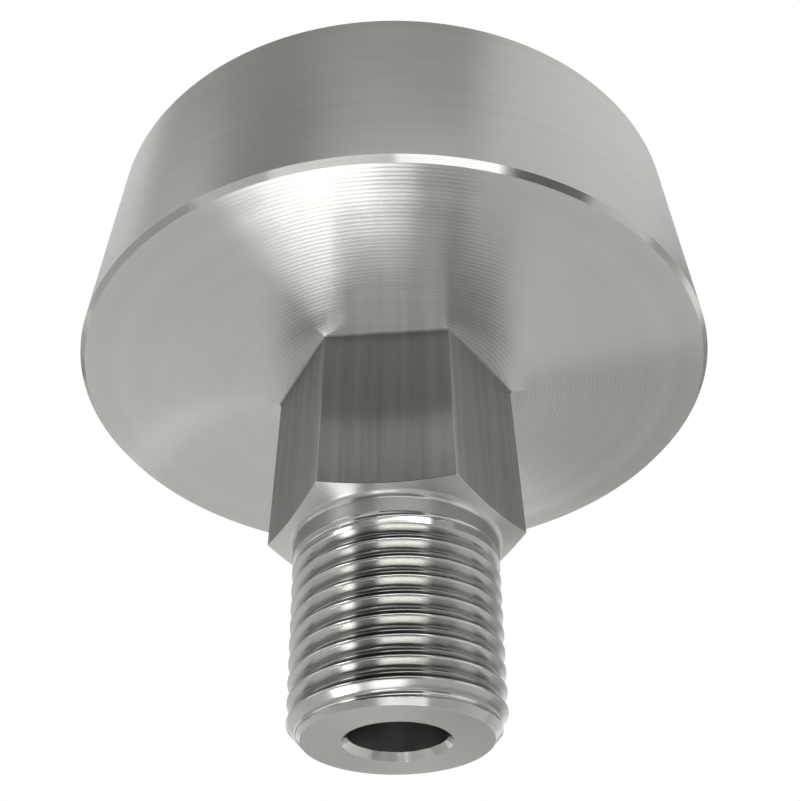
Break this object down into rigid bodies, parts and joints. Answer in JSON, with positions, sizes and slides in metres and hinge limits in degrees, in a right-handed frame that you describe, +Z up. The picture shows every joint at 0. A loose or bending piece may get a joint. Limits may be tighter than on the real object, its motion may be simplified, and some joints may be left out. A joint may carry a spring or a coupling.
{
  "type": "diaphragm seal",
  "caption": "Welded stainless diaphragm seal: flat drum with a hexagon and a male taper pipe thread below and a female gauge port on top, keeping process fluid out of a gauge.",
  "frame": {"origin": "centre of the process thread's end face, the lowest point of the part on its axis", "axes": "+Z up the part's axis from the process thread to the gauge port, +Y through the fill port, -Y normal to one flat of the hexagon"},
  "size_m": [0.074, 0.074, 0.0638],
  "materials": {
    "turned_stainless": "fine turned, satin",
    "foil_stainless": "bright rolled",
    "weld_bead": "welded, brushed",
    "screw_stainless": "plain"
  },
  "bodies": {
    "root": {"lower_body": "turned_stainless", "clamp_ring": "turned_stainless", "diaphragm": "foil_stainless", "upper_body": "turned_stainless", "closing_weld": "weld_bead", "fill_ball": "screw_stainless", "fill_screw": "screw_stainless"}
  },
  "joints": []
}
